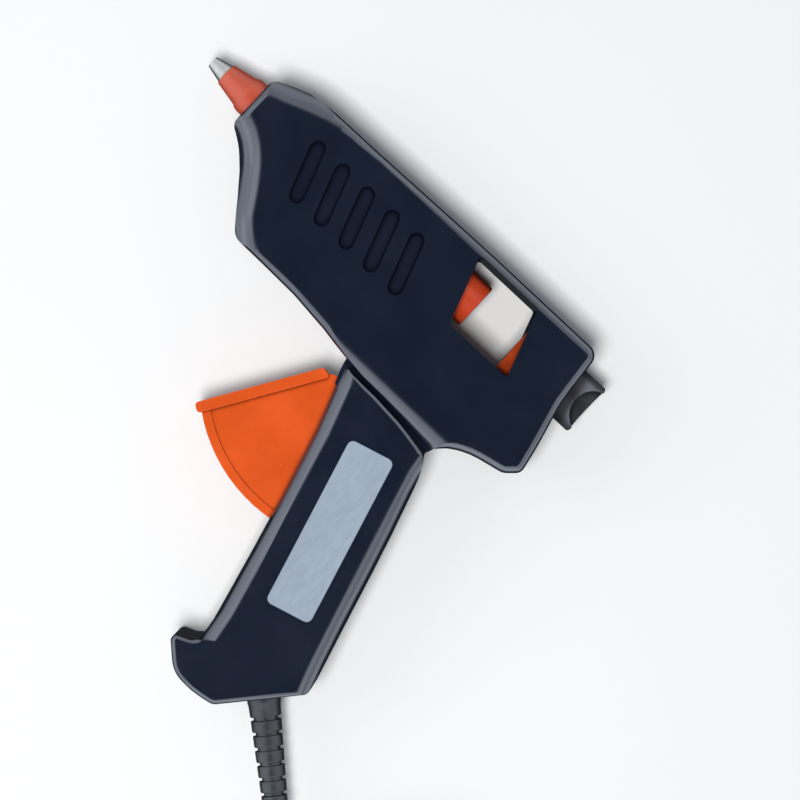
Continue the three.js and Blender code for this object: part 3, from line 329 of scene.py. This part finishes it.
def noise(tree, scale, detail=2.0, rough=0.5, stretch=None):
    """A noise pattern in the object's own coordinates; scale is in features per metre."""
    vector = tree.nodes.new("ShaderNodeTexCoord").outputs["Object"]
    if stretch:
        mapping = tree.nodes.new("ShaderNodeMapping")
        mapping.inputs["Rotation"].default_value = stretch[0]
        mapping.inputs["Scale"].default_value = stretch[1]
        tree.links.new(vector, mapping.inputs["Vector"])
        vector = mapping.outputs["Vector"]
    texture = tree.nodes.new("ShaderNodeTexNoise")
    texture.inputs["Scale"].default_value = scale
    texture.inputs["Detail"].default_value = detail
    texture.inputs["Roughness"].default_value = rough
    tree.links.new(vector, texture.inputs["Vector"])
    return texture.outputs["Fac"]


def between(tree, value, low, high, to_low=0.0, to_high=1.0):
    """A smooth step as the value goes from low to high."""
    ranged = tree.nodes.new("ShaderNodeMapRange")
    ranged.interpolation_type = "SMOOTHSTEP"
    tree.links.new(value, ranged.inputs["Value"])
    ranged.inputs["From Min"].default_value = low
    ranged.inputs["From Max"].default_value = high
    ranged.inputs["To Min"].default_value = to_low
    ranged.inputs["To Max"].default_value = to_high
    return ranged.outputs["Result"]


def maths(tree, a, operation, b):
    """Joins two values, each of them a number or a socket."""
    node = tree.nodes.new("ShaderNodeMath")
    node.operation = operation
    for socket, value in zip(node.inputs, (a, b)):
        if hasattr(value, "is_output"):
            tree.links.new(value, socket)
        else:
            socket.default_value = value
    return node.outputs[0]


def blend(tree, factor, a, b):
    """Goes from colour a to colour b, each of them a triple or a socket."""
    mix = tree.nodes.new("ShaderNodeMix")
    mix.data_type = "RGBA"
    tree.links.new(factor, mix.inputs["Factor"])
    for socket, colour in ((mix.inputs[6], a), (mix.inputs[7], b)):
        if hasattr(colour, "is_output"):
            tree.links.new(colour, socket)
        else:
            socket.default_value = (*colour, 1)
    return mix.outputs[2]


def shade(base, factor, lift=0.0):
    """A darker or paler version of a colour."""
    return [min(c * factor + lift, 1) for c in base]


def rounded_normal(tree, radius):
    """The surface's normal with its edges rounded by so many mm."""
    node = tree.nodes.new("ShaderNodeBevel")
    node.samples = 6
    node.inputs["Radius"].default_value = radius * MM
    return node.outputs["Normal"]


def worn_edges(tree, radius):
    """1 along edges, 0 on open faces."""
    soft = rounded_normal(tree, radius)
    geometry = tree.nodes.new("ShaderNodeNewGeometry")
    dot = tree.nodes.new("ShaderNodeVectorMath")
    dot.operation = "DOT_PRODUCT"
    tree.links.new(soft, dot.inputs[0])
    tree.links.new(geometry.outputs["Normal"], dot.inputs[1])
    return between(tree, dot.outputs["Value"], *EDGE_TURNS)


def bump(tree, height, strength, distance, normal=None):
    node = tree.nodes.new("ShaderNodeBump")
    node.inputs["Strength"].default_value = strength
    node.inputs["Distance"].default_value = distance * MM
    tree.links.new(height, node.inputs["Height"])
    if normal is not None:
        tree.links.new(normal, node.inputs["Normal"])
    return node.outputs["Normal"]


# Ambient occlusion: the mask that moulded() paints shade with.
def crevices(tree, reach, closed):
    """1 in corners and recesses within reach, 0 on open faces; closed is the sky seen at 1."""
    node = tree.nodes.new("ShaderNodeAmbientOcclusion")
    node.samples = 8
    node.inputs["Distance"].default_value = reach * MM
    return between(tree, node.outputs["AO"], OPEN, closed)


# The mask that moulded() paints a shadow inside a bore with.
def within_bore(tree, node, radius):
    """1 nearer than radius to the centre line of a node that is turned round x, else 0."""
    centre = sum((Vector(corner) for corner in node.bound_box), Vector()) / 8
    vector = tree.nodes.new("ShaderNodeTexCoord").outputs["Object"]
    for operation, value in (("SUBTRACT", centre), ("MULTIPLY", (0, 1, 1)), ("LENGTH", None)):
        step = tree.nodes.new("ShaderNodeVectorMath")
        step.operation = operation
        tree.links.new(vector, step.inputs[0])
        if value is not None:
            step.inputs[1].default_value = value
        vector = step.outputs["Value" if operation == "LENGTH" else "Vector"]
    return between(tree, vector, (radius + BORE_RIM) * MM, radius * MM)


def moulded(
    name,
    base,
    rough=0.42,
    uneven=0.06,
    specular=0.5,
    ior=1.5,
    grain=0.25,
    grain_size=0.35,
    tint=0.18,
    wear=0.5,
    soft_edge=0.25,
    subsurface=0.0,
    painted_shade_reach=0.0,
    closed=0.55,
    bore=None,
):
    """Moulded plastic or rubber: spark-eroded grain, faint clouding, paler rubbed edges.

    The reach in mm given for painted shade is how far a dull dark tone, painted shade from
    ambient occlusion, reaches into corners and recesses. Bore is a node and the radius within
    which that tone is as dark, a painted shadow inside the bore.
    """
    material, tree, shader = graph(name)
    clouds = between(tree, noise(tree, *CLOUDS), *MIDDLE)
    colour = blend(tree, clouds, shade(base, 1 - tint), shade(base, 1 + tint, PALE_LIFT))
    specks = between(tree, noise(tree, *SPECKS), *PEAKS)
    specks = between(tree, specks, 0, 1, 0, SPECK_SHARE)
    colour = blend(tree, specks, colour, shade(base, *SPECK_TONE))
    if wear:
        rubbing = between(tree, noise(tree, *RUBBING), *HIGH, RUBBED_LEAST, wear)
        patchy = maths(tree, worn_edges(tree, WORN_REACH), "MULTIPLY", rubbing)
        colour = blend(tree, patchy, colour, shade(base, *RUBBED_TONE))
    sheen = between(tree, noise(tree, *SHEEN), *MIDDLE, rough - uneven, rough + uneven)
    # Painted shade: corners, recesses and the inside of a bore get a darker colour and a duller
    # reflection where shade falls.
    if painted_shade_reach:
        corners = crevices(tree, painted_shade_reach, closed)
        if bore:
            corners = maths(tree, corners, "MAXIMUM", within_bore(tree, *bore))
        colour = blend(tree, corners, colour, shade(base, *PAINTED_SHADE_TONE))
        lost = maths(tree, corners, "MULTIPLY", PAINTED_SHADE_DULLS * specular)
        dull = maths(tree, specular, "SUBTRACT", lost)
        tree.links.new(dull, shader.inputs["Specular IOR Level"])
    tree.links.new(colour, shader.inputs["Base Color"])
    tree.links.new(sheen, shader.inputs["Roughness"])
    normal = rounded_normal(tree, soft_edge) if soft_edge else None
    normal = bump(tree, noise(tree, *WAVES), *WAVE_BUMP, normal)
    fine = noise(tree, 1 / (grain_size * MM), 2, 0.6)
    normal = bump(tree, fine, grain, GRAIN_DEPTH, normal)
    tree.links.new(normal, shader.inputs["Normal"])
    shader.inputs["Specular IOR Level"].default_value = specular
    shader.inputs["IOR"].default_value = ior
    if subsurface:
        shader.inputs["Subsurface Weight"].default_value = subsurface
        shader.inputs["Subsurface Radius"].default_value = SKIN_RADII
        shader.inputs["Subsurface Scale"].default_value = SKIN_DEPTH
    return material


def metal(name, base, rough, turned=None, scratch=0.3, depth=0.012):
    """Bare metal, with turning marks across the given axis, or fine random scratches."""
    material, tree, shader = graph(name)
    shader.inputs["Metallic"].default_value = 1.0
    stains = between(tree, noise(tree, *STAINS), *UPPER)
    colour = blend(tree, stains, shade(base, 0.86), base)
    tree.links.new(colour, shader.inputs["Base Color"])
    if turned:
        lines = noise(tree, *TURNING, stretch=((0, 0, 0), turned))
    else:
        lines = noise(tree, *SCRATCHES, stretch=((0.2, 0.5, 0.7), (1, 0.05, 1)))
    smudges = between(tree, noise(tree, *SMUDGES), *WIDE, rough - 0.06, rough + 0.14)
    tree.links.new(smudges, shader.inputs["Roughness"])
    normal = bump(tree, lines, scratch, depth, rounded_normal(tree, METAL_EDGE))
    tree.links.new(normal, shader.inputs["Normal"])
    return material


def paper(name, base):
    """A sticker: smooth film with faint fibre and a little dirt at its edges."""
    material, tree, shader = graph(name)
    lying = noise(tree, *FIBRES, stretch=((0, 0, 0.27), (1, 0.3, 1)))
    colour = blend(tree, between(tree, lying, *UPPER), shade(base, 0.94), shade(base, 1.05))
    dirt = between(tree, noise(tree, *DIRT), *WIDE, 0, 0.5)
    colour = blend(tree, dirt, colour, shade(base, 0.86))
    dirty_edge = between(tree, worn_edges(tree, STICKER_REACH), 0, 1, 0, 0.45)
    colour = blend(tree, dirty_edge, colour, shade(base, 0.55))
    tree.links.new(colour, shader.inputs["Base Color"])
    gloss = between(tree, noise(tree, *GLOSS), *MIDDLE, 0.26, 0.36)
    tree.links.new(gloss, shader.inputs["Roughness"])
    tree.links.new(bump(tree, noise(tree, *COCKLES), *COCKLE_BUMP), shader.inputs["Normal"])
    return material


def woven(name, base):
    """Glass-fibre sleeving, or another fine braid."""
    material, tree, shader = graph(name)
    threads = between(tree, noise(tree, *THREADS), *NARROW)
    tree.links.new(blend(tree, threads, shade(base, 0.6), base), shader.inputs["Base Color"])
    tree.links.new(between(tree, threads, 0, 1, 0.9, 0.7), shader.inputs["Roughness"])
    tree.links.new(bump(tree, threads, *THREAD_BUMP), shader.inputs["Normal"])
    return material


ORANGE = {"rough": 0.34, "grain": 0.12, "tint": 0.07, "wear": 0.25}
CORE = {"rough": 0.5, "grain": 0.1, "wear": 0.1}
# The reach in mm given below for painted shade darkens each material's corners and recesses
# where shade falls.
BY_SLOT = {
    "shell": moulded(
        "shell_plastic", (0.0047, 0.0084, 0.0188), rough=0.17, uneven=0.015, specular=1.0,
        ior=1.6, grain=0.06, tint=0.05, wear=0, soft_edge=0, painted_shade_reach=2.4,
    ),
    "black_plastic": moulded(
        "black_plastic", (0.017, 0.018, 0.021), rough=0.3, specular=0.7, grain=0.1, wear=0.3,
        soft_edge=0.5, painted_shade_reach=6,
    ),
    "orange_plastic": moulded(
        "orange_plastic", (0.65, 0.080, 0.007), subsurface=0.06, painted_shade_reach=1.8, **ORANGE
    ),
    "nozzle_silicone": moulded(
        "nozzle_silicone", (0.47, 0.060, 0.020), rough=0.36, specular=0.7, grain=0.08, tint=0.1,
        wear=0.15, soft_edge=0.3, subsurface=0.1,
    ),
    "sleeve_silicone": moulded(
        "sleeve_silicone", (0.54, 0.055, 0.016), grain=0.1, tint=0.14, wear=0.15,
        soft_edge=0.15, subsurface=0.1, painted_shade_reach=6,
    ),
    "nozzle_metal": metal(
        "nozzle_metal", (0.50, 0.475, 0.43), 0.42, turned=(0.12, 0.01, 0.01), scratch=1.0,
        depth=0.05,
    ),
    "cast_aluminium": metal("cast_aluminium", (0.42, 0.42, 0.43), 0.5, scratch=0.5),
    "contact_metal": metal("contact_metal", (0.70, 0.70, 0.72), 0.2),
    "steel": metal("zinc_steel", (0.46, 0.46, 0.48), 0.32),
    "heater_ceramic": moulded(
        "heater_ceramic", (0.62, 0.57, 0.48), rough=0.75, grain=0.4, tint=0.08, wear=0.2
    ),
    "heater_film": moulded(
        "insulating_film", (0.42, 0.18, 0.03), rough=0.3, grain=0.05, tint=0.1, wear=0.1
    ),
    "lead_sleeve": woven("lead_sleeving", (0.75, 0.72, 0.64)),
    "crimp_cap": moulded("crimp_nylon", (0.6, 0.56, 0.45), tint=0.06, **CORE),
    "core_brown": moulded("core_brown", (0.12, 0.045, 0.02), **CORE),
    "core_blue": moulded("core_blue", (0.02, 0.09, 0.4), **CORE),
    "cord_jacket": moulded(
        "cord_rubber", (0.0095, 0.0098, 0.0115), rough=0.55, grain=0.35, grain_size=0.5, wear=0,
        soft_edge=0,
    ),
    "boot_rubber": moulded(
        "boot_rubber", (0.018, 0.020, 0.023), rough=0.36, specular=0.7, grain=0.2, wear=0.35
    ),
    "plug_plastic": moulded("plug_plastic", (0.011, 0.011, 0.013), rough=0.48, wear=0.35),
    "label": paper("label_paper", (0.295, 0.352, 0.42)),
}

# Two nodes share a slot with others, but get their own materials with stronger painted shade in
# their hollows. The carriage is a darker copy of the orange plastic, as painted shade, and the
# collar has a painted shadow in its bore.
BY_NODE = {
    "inlet_collar": moulded(
        "collar_plastic", (0.052, 0.053, 0.061), rough=0.32, specular=1.0, grain=0.1, wear=0.3,
        soft_edge=0.3, painted_shade_reach=4.5, closed=0.78, bore=(nodes["inlet_collar"], 7.2),
    ),
    "feed_carriage": moulded(
        "carriage_plastic_painted_shade", (0.50, 0.058, 0.008), subsurface=0.04, painted_shade_reach=7, **ORANGE
    ),
}

# Every CAD node takes its slot's material, or its own one above. The ones in view have their
# edges rounded.
EDGES = {
    "housing_left": 0.25,
    "housing_right": 0.25,
    "trigger": 0.35,
    "inlet_collar": 0.45,
    "inlet_sleeve": 0.15,
    "feed_carriage": 0.2,
    "nozzle": 0.12,
    "nozzle_cover": 0.15,
    "rating_label": 0.06,
}
CHAMFERED = ("housing_left", "housing_right")
for row in frame["record"]["subparts"]:
    node = row["node"]
    for slot in nodes[node].material_slots:
        slot.material = BY_NODE.get(node, BY_SLOT[row["material_slot"]])
    soften(node, EDGES.get(node, 0.0), 1 if node in CHAMFERED else 2)


# ---------------------------------------------------------------- strain relief
# A flexible boot: a collar held in the housing, a smooth root, then seven rings with a
# groove before each, down to a narrower tip. A profile is points of x from the exit, radius.
ROOT, TIP, BORE = 4.6, 3.45, CORD / 2 + 0.15
RINGS_FROM = 2.7
FIRST_GROOVE, RING_PITCH, GROOVE, GROOVES = 6.0, 4.4, 1.5, 7
GROOVE_DEPTH, BOOT_SIDES = 0.95, 56


def boot_radius(x):
    return ROOT + 0.05 + (TIP - ROOT) * (x - RINGS_FROM) / (BOOT_LENGTH - RINGS_FROM)


def boot():
    profile = [(-5.4, BORE), (-5.4, 6.2), (-5.0, 6.4), (-2.9, 6.4), (-2.7, 6.2), (-2.7, ROOT)]
    profile += [(0.3, ROOT), (0.3, ROOT + 0.15), (0.7, ROOT + 0.3), (2.2, ROOT + 0.3)]
    profile.append((RINGS_FROM, ROOT + 0.1))
    for k in range(GROOVES):
        x = FIRST_GROOVE + k * RING_PITCH
        end = x + GROOVE
        top = boot_radius(x)
        floor = top - GROOVE_DEPTH
        profile += [(x, top), (x + 0.18, top - 0.15), (x + 0.25, floor), (end - 0.25, floor)]
        profile += [(end - 0.18, top - 0.15), (end, boot_radius(end))]
    profile += [(BOOT_LENGTH - 0.5, TIP), (BOOT_LENGTH - 0.1, TIP - 0.2)]
    profile += [(BOOT_LENGTH, TIP - 0.45), (BOOT_LENGTH, BORE)]
    placed = Matrix.Translation(at(*EXIT)) @ Matrix.Rotation(EXIT_ANGLE, 4, "Z")
    placed = placed @ Matrix.Scale(MM, 4)
    bm = bmesh.new()
    rings = []
    for x, radius in profile:
        ring = []
        for i in range(BOOT_SIDES):
            a = 2 * math.pi * i / BOOT_SIDES
            local = Vector((x, radius * math.cos(a), radius * math.sin(a)))
            ring.append(bm.verts.new(placed @ local))
        rings.append(ring)
    bridge(bm, [*rings, rings[0]])
    new_piece("flex_boot", bm, "strain_relief", "boot_rubber")


boot()


# ---------------------------------------------------------------- plug
# Its outline, from the cord's end to the pins: x, y and the radius of each corner.
PLUG_OUTLINE = (
    (13, 34, 2.5), (-13, 34, 2.5), (-13, 25, 6), (-6, 13, 9), (-4.6, 0, 1.5),
    (4.6, 0, 1.5), (6, 13, 9), (13, 25, 6),
)
PLUG_HEIGHT, PLUG_EDGE = 13.2, 1.5
CORNER_STEPS, EDGE_RINGS = 6, 4
CORNER_REACH = 0.46  # of the shorter side, at most


def rounded(outline):
    """The points of a closed outline with its corners rounded."""
    made = []
    for i, (x, y, radius) in enumerate(outline):
        here = Vector((x, y))
        back = Vector(outline[i - 1][:2]) - here
        on = Vector(outline[(i + 1) % len(outline)][:2]) - here
        reach = CORNER_REACH * min(back.length, on.length)
        back.normalize()
        on.normalize()
        trim = min(reach, radius * math.tan((math.pi - back.angle(on)) / 2))
        a, b = here + back * trim, here + on * trim
        for k in range(CORNER_STEPS + 1):
            t = k / CORNER_STEPS
            made.append((1 - t) ** 2 * a + 2 * t * (1 - t) * here + t * t * b)
    return made


def plug():
    """A plate on the floor with its upper and lower edges rounded."""
    outline = rounded(PLUG_OUTLINE)
    levels = []
    for k in range(EDGE_RINGS + 1):
        a = math.pi / 2 * k / EDGE_RINGS
        levels.append((PLUG_EDGE * (1 - math.sin(a)), PLUG_EDGE * (1 - math.cos(a))))
    levels = levels[::-1] + [(PLUG_HEIGHT - z, inset) for z, inset in levels]
    placed = Matrix.Translation(on_tail(COIL_RADII[0], PLUG_BACK, 0)) @ Matrix.Scale(MM, 4)
    bm = bmesh.new()
    rings = []
    for z, inset in levels:
        ring = []
        for i, point in enumerate(outline):
            ahead = (outline[(i + 1) % len(outline)] - outline[i - 1]).normalized()
            inward = Vector((-ahead.y, ahead.x))
            ring.append(bm.verts.new(placed @ Vector((*(point + inward * inset), z))))
        rings.append(ring)
    bridge(bm, rings)
    cap(bm, rings)
    return new_piece("plug_moulding", bm, "plug_body", "plug_plastic")


plug_moulding = plug()

# ---------------------------------------------------------------- what the cord is
smooth_by_angle(cord_flex)
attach(cord_flex, "gun_body")
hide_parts("power_cord", "cord_coil", "power_cord_tail")
cord_flex.data.materials.append(BY_SLOT["cord_jacket"])

# ---------------------------------------------------------------- floor
FLOOR_REACH, FLOOR_DROP = 2.5, 0.0002  # m
FLOOR_COLOURS = ((0.78, 0.78, 0.77), (0.81, 0.81, 0.80))
floor_mesh = bmesh.new()
bmesh.ops.create_grid(floor_mesh, x_segments=1, y_segments=1, size=FLOOR_REACH)
floor = mesh_object("floor", floor_mesh)
floor.location.z = -FLOOR_DROP
floor.visible_glossy = False
floor_material, tree, shader = graph("floor_paper")
tint = between(tree, noise(tree, 3), *MIDDLE)
tree.links.new(blend(tree, tint, *FLOOR_COLOURS), shader.inputs["Base Color"])
shader.inputs["Roughness"].default_value = 0.85
shader.inputs["Specular IOR Level"].default_value = 0.2
floor.data.materials.append(floor_material)

# ---------------------------------------------------------------- light
# Only reflections see the tent: a round light wall with a dark hole overhead, where the
# camera looks through, dark below the horizon, faintly panelled and brighter towards the
# picture's lower left. Every other ray meets a weak even glow.
TENT, TENT_HOLE, TENT_FOOT, TENT_GLOW = 1.75, 0.014, 0.04, 0.3
TENT_COLOUR = (0.82, 0.89, 1.0, 1)
HOLE_RIM, HORIZON = (0.985, 0.90), (-0.42, 0.06)  # heights on a ball of radius 1
SIDE_REACH, SIDE_LIGHT = (-0.9, 0.9), (0.75, 1.1)
PANEL_SCALE, PANEL_EDGES, PANEL_LIGHT = 1.6, (0.36, 0.62), (0.75, 1.15)
world = bpy.data.worlds.new("studio")
scene.world = world
world.use_nodes = True
tree = world.node_tree
background = next(n for n in tree.nodes if n.type == "BACKGROUND")
direction = tree.nodes.new("ShaderNodeTexCoord").outputs["Generated"]
split = tree.nodes.new("ShaderNodeSeparateXYZ")
tree.links.new(direction, split.inputs[0])
sideways = tree.nodes.new("ShaderNodeVectorMath")
sideways.operation = "DOT_PRODUCT"
tree.links.new(direction, sideways.inputs[0])
sideways.inputs[1].default_value = -(right + up).normalized()
panels = tree.nodes.new("ShaderNodeTexNoise")
panels.inputs["Scale"].default_value = PANEL_SCALE
panels.inputs["Detail"].default_value = 1
tree.links.new(direction, panels.inputs["Vector"])
hole = between(tree, split.outputs["Z"], *HOLE_RIM)
horizon = between(tree, split.outputs["Z"], *HORIZON)
side = between(tree, sideways.outputs["Value"], *SIDE_REACH, *SIDE_LIGHT)
panel = between(tree, panels.outputs["Fac"], *PANEL_EDGES, *PANEL_LIGHT)
wall = maths(tree, maths(tree, side, "MULTIPLY", panel), "MULTIPLY", TENT)
wall = maths(tree, maths(tree, hole, "MULTIPLY", horizon), "MULTIPLY", wall)
below = maths(tree, 1.0, "SUBTRACT", horizon)
foot = maths(tree, below, "MULTIPLY", TENT_FOOT - TENT_HOLE)
tent = maths(tree, maths(tree, wall, "ADD", foot), "ADD", TENT_HOLE)
glossy = tree.nodes.new("ShaderNodeLightPath").outputs["Is Glossy Ray"]
shown = maths(tree, tent, "MULTIPLY", glossy)
glow = maths(tree, maths(tree, 1.0, "SUBTRACT", glossy), "MULTIPLY", TENT_GLOW)
tree.links.new(maths(tree, shown, "ADD", glow), background.inputs["Strength"])
background.inputs["Color"].default_value = TENT_COLOUR


def lamp(name, azimuth, tilt, distance, size, brightness, colour=(1, 1, 1)):
    """A soft box aimed at the gun, turned from the picture's right and tilted from overhead."""
    data = bpy.data.lights.new(name, "AREA")
    data.shape = "RECTANGLE"
    data.size, data.size_y = size
    data.energy = brightness * math.pi * size[0] * size[1]
    data.color = colour
    light = bpy.data.objects.new(name, data)
    target = at(*PICTURE_CENTRE)
    a, t = math.radians(azimuth), math.radians(tilt)
    outward = right * math.cos(a) + up * math.sin(a)
    place = target + (outward * math.sin(t) + Vector((0, 0, math.cos(t)))) * distance
    aim = (target - place).to_track_quat("-Z", "Y").to_matrix().to_4x4()
    light.matrix_world = Matrix.Translation(place) @ aim
    light.visible_glossy = False
    scene.collection.objects.link(light)


lamp("overhead", 235, 9, 1.2, (0.25, 0.25), 66)
lamp("soft_left", 165, 50, 0.9, (0.6, 0.5), 1.4, (0.95, 0.98, 1))

scene.view_settings.view_transform = "Standard"
